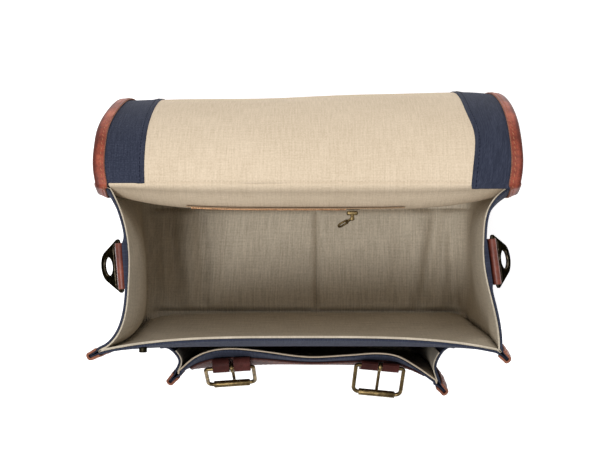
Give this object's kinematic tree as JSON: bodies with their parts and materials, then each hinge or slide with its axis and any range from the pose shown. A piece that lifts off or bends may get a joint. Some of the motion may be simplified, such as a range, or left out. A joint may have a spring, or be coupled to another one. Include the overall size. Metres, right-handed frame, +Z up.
{
  "type": "canvas camera bag",
  "caption": "Soft-sided navy canvas camera bag, lined in beige, standing open with its flap thrown back, with leather-bound seams, a front pocket, roller buckles and strap rings.",
  "frame": {"origin": "the middle of the base, on the surface that the bag stands on", "axes": "+Z up, +X to the bag's right end as the picture shows it, -Y out of the pocket's front"},
  "size_m": [0.3502, 0.2716, 0.2534],
  "materials": {
    "navy_canvas": "matt, close canvas weave",
    "beige_lining": "matt, cotton twill",
    "tan_leather": "satin, waxed",
    "oxblood_leather": "satin, waxed",
    "antique_brass": "antiqued, satin",
    "dark_bronze": "antiqued, dark satin",
    "zip_teeth": "woven tape with small copper teeth"
  },
  "bodies": {
    "bag": {"front_panel": "navy_canvas", "back_panel": "navy_canvas", "side_gusset_left": "navy_canvas", "side_gusset_right": "navy_canvas", "flap": "navy_canvas", "flap_facing": "navy_canvas", "pocket_front": "navy_canvas", "pocket_gusset": "navy_canvas", "lining_front": "beige_lining", "lining_back": "beige_lining", "lining_gusset_left": "beige_lining", "lining_gusset_right": "beige_lining", "flap_lining": "beige_lining", "pocket_lining_front": "beige_lining", "pocket_lining_gusset": "beige_lining", "front_binding": "tan_leather", "back_binding": "tan_leather", "flap_binding": "tan_leather", "pocket_binding": "tan_leather", "ring_tab_left": "tan_leather", "ring_tab_right": "tan_leather", "pocket_band": "oxblood_leather", "buckle_tab_left": "oxblood_leather", "buckle_tab_right": "oxblood_leather", "closing_strap_left": "oxblood_leather", "closing_strap_right": "oxblood_leather", "zip_slider": "antique_brass", "zip_tape": "zip_teeth"},
    "prong_left": {"buckle_prong_left": "antique_brass"},
    "frame_left": {"buckle_frame_left": "antique_brass"},
    "roller_left": {"buckle_roller_left": "antique_brass"},
    "prong_right": {"buckle_prong_right": "antique_brass"},
    "frame_right": {"buckle_frame_right": "antique_brass"},
    "roller_right": {"buckle_roller_right": "antique_brass"},
    "ring_left": {"strap_ring_left": "dark_bronze"},
    "ring_right": {"strap_ring_right": "dark_bronze"},
    "pull": {"zip_pull": "antique_brass"}
  },
  "joints": [
    {"name": "prong_left_hinge", "type": "hinge", "parent": "bag", "child": "prong_left", "pos_m": [-0.0642, -0.088, 0.182], "axis": [0.9978, 0.0663, 0], "range_deg": [-90, 0]},
    {"name": "frame_left_hinge", "type": "hinge", "parent": "prong_left", "child": "frame_left", "pos_m": [-0.0642, -0.088, 0.182], "axis": [0.9978, 0.0663, 0], "range_deg": [-80, 0]},
    {"name": "roller_left_spin", "type": "hinge", "parent": "frame_left", "child": "roller_left", "pos_m": [-0.06514, -0.10397, 0.16016], "axis": [0.9978, 0.0663, 0], "continuous": true},
    {"name": "prong_right_hinge", "type": "hinge", "parent": "bag", "child": "prong_right", "pos_m": [0.0616, -0.0872, 0.182], "axis": [0.9954, -0.0958, 0], "range_deg": [-60, 22]},
    {"name": "frame_right_hinge", "type": "hinge", "parent": "prong_right", "child": "frame_right", "pos_m": [0.0616, -0.0872, 0.182], "axis": [0.9954, -0.0958, 0], "range_deg": [-80, 0]},
    {"name": "roller_right_spin", "type": "hinge", "parent": "frame_right", "child": "roller_right", "pos_m": [0.05929, -0.11115, 0.16974], "axis": [0.9954, -0.0958, 0], "continuous": true},
    {"name": "ring_left_hinge", "type": "hinge", "parent": "bag", "child": "ring_left", "pos_m": [-0.15008, 0, 0.236], "axis": [-0.0802, 0.9968, 0], "range_deg": [-12, 114]},
    {"name": "ring_right_hinge", "type": "hinge", "parent": "bag", "child": "ring_right", "pos_m": [0.14973, 0.0036, 0.236], "axis": [0.1288, -0.9917, 0], "range_deg": [-6, 120]},
    {"name": "zip_pull_hinge", "type": "hinge", "parent": "bag", "child": "pull", "pos_m": [0.036, 0.03822, 0.226], "axis": [0, 0, 1], "range_deg": [-30, 140]}
  ]
}
